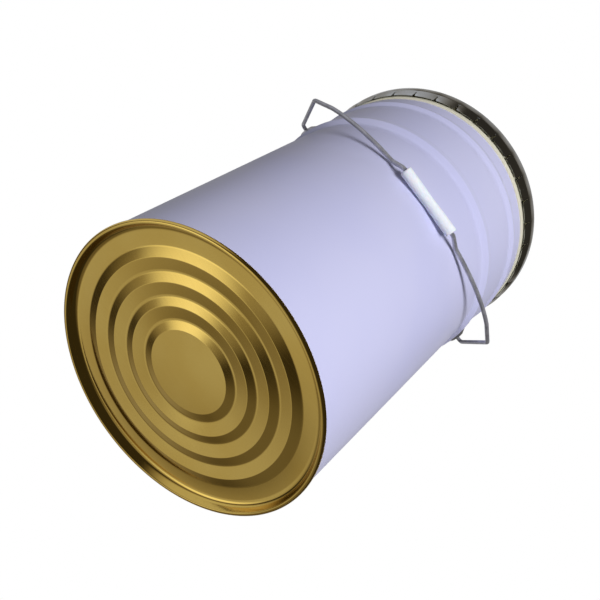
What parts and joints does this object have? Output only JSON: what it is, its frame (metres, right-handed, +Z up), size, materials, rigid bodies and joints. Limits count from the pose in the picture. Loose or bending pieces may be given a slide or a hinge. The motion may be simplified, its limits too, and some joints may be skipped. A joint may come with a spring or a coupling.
{
  "type": "paint can",
  "caption": "Straight-sided metal paint pail with a lug cover, a double-seamed stepped bottom and a wire bail with a grip.",
  "frame": {"origin": "centre of the bottom seam, on the plane the pail stands on", "axes": "+Z up along the pail's axis, X through the two ears, the bail hangs on the -Y side"},
  "size_m": [0.2989, 0.279, 0.4287],
  "materials": {
    "body_paint": "smooth pale lavender-white paint outside",
    "gold_lacquer": "gold lacquer over tinplate, satin to bright",
    "sealing_compound": "matt",
    "tinplate": "bright tinplate",
    "gasket_foam": "matt foam",
    "ear_steel": "bright plated steel",
    "galvanised_wire": "satin galvanised",
    "grip_plastic": "translucent white plastic"
  },
  "bodies": {
    "pail": {"body_shell": "body_paint", "bottom_end": "gold_lacquer", "seam_compound": "sealing_compound", "ear_left": "ear_steel", "ear_right": "ear_steel"},
    "lid": {"lid_cover": "tinplate", "lid_gasket": "gasket_foam"},
    "bail": {"bail_wire": "galvanised_wire"},
    "grip": {"bail_grip": "grip_plastic"}
  },
  "joints": [
    {"name": "bail_hinge", "type": "hinge", "parent": "pail", "child": "bail", "pos_m": [0, 0, 0.33891], "axis": [-1, 0, 0], "range_deg": [0, 258]},
    {"name": "grip_spin", "type": "hinge", "parent": "bail", "child": "grip", "pos_m": [0, -0.13539, 0.22927], "axis": [1, 0, 0], "continuous": true},
    {"name": "lid_lift", "type": "slide", "parent": "pail", "child": "lid", "axis": [0, 0, 1], "range_m": [0, 0.3]}
  ]
}
